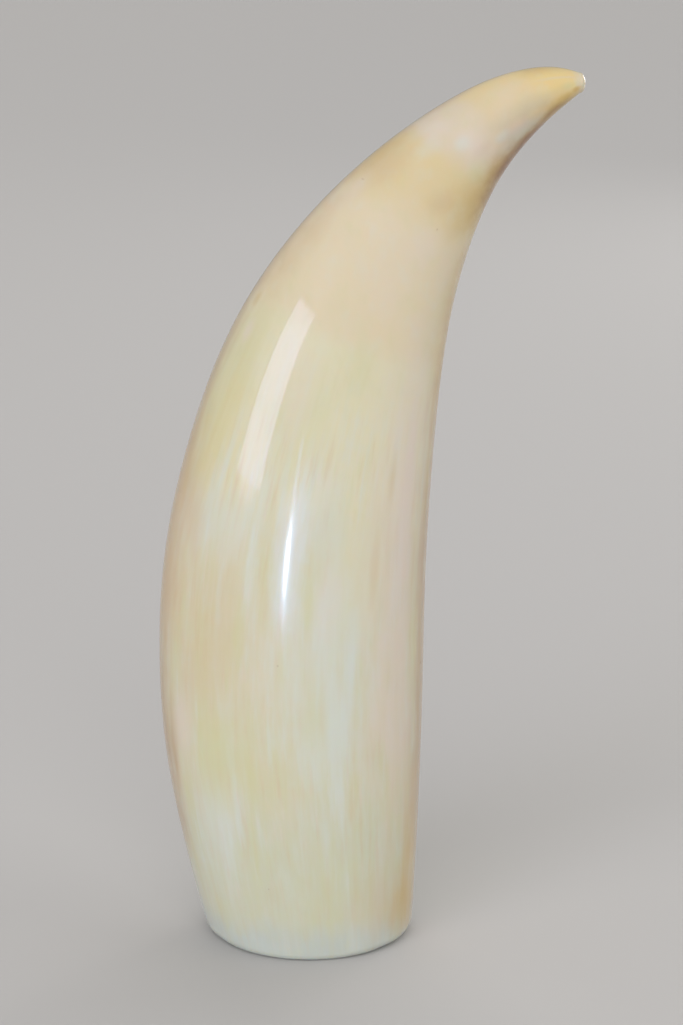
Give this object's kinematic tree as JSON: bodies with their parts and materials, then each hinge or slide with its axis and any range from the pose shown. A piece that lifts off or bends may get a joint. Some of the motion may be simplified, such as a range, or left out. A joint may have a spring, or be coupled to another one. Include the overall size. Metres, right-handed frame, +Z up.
{
  "type": "polished sperm whale tooth",
  "caption": "Curved, polished tooth with a blunt worn tip that stands upright on its flat sawn root end.",
  "frame": {"origin": "centre of the flat sawn root face, where its outer-to-inner width crosses the plane of the hook", "axes": "+Z up from the sawn face, +X the way the tip hooks, +Y through the thickness, away from the flank shown"},
  "size_m": [0.0781, 0.0374, 0.1656],
  "materials": {
    "tooth_ivory": "polished ivory: creamy and faintly streaked along its length, with a soft even gloss"
  },
  "bodies": {
    "root": {"tooth": "tooth_ivory"}
  },
  "joints": []
}
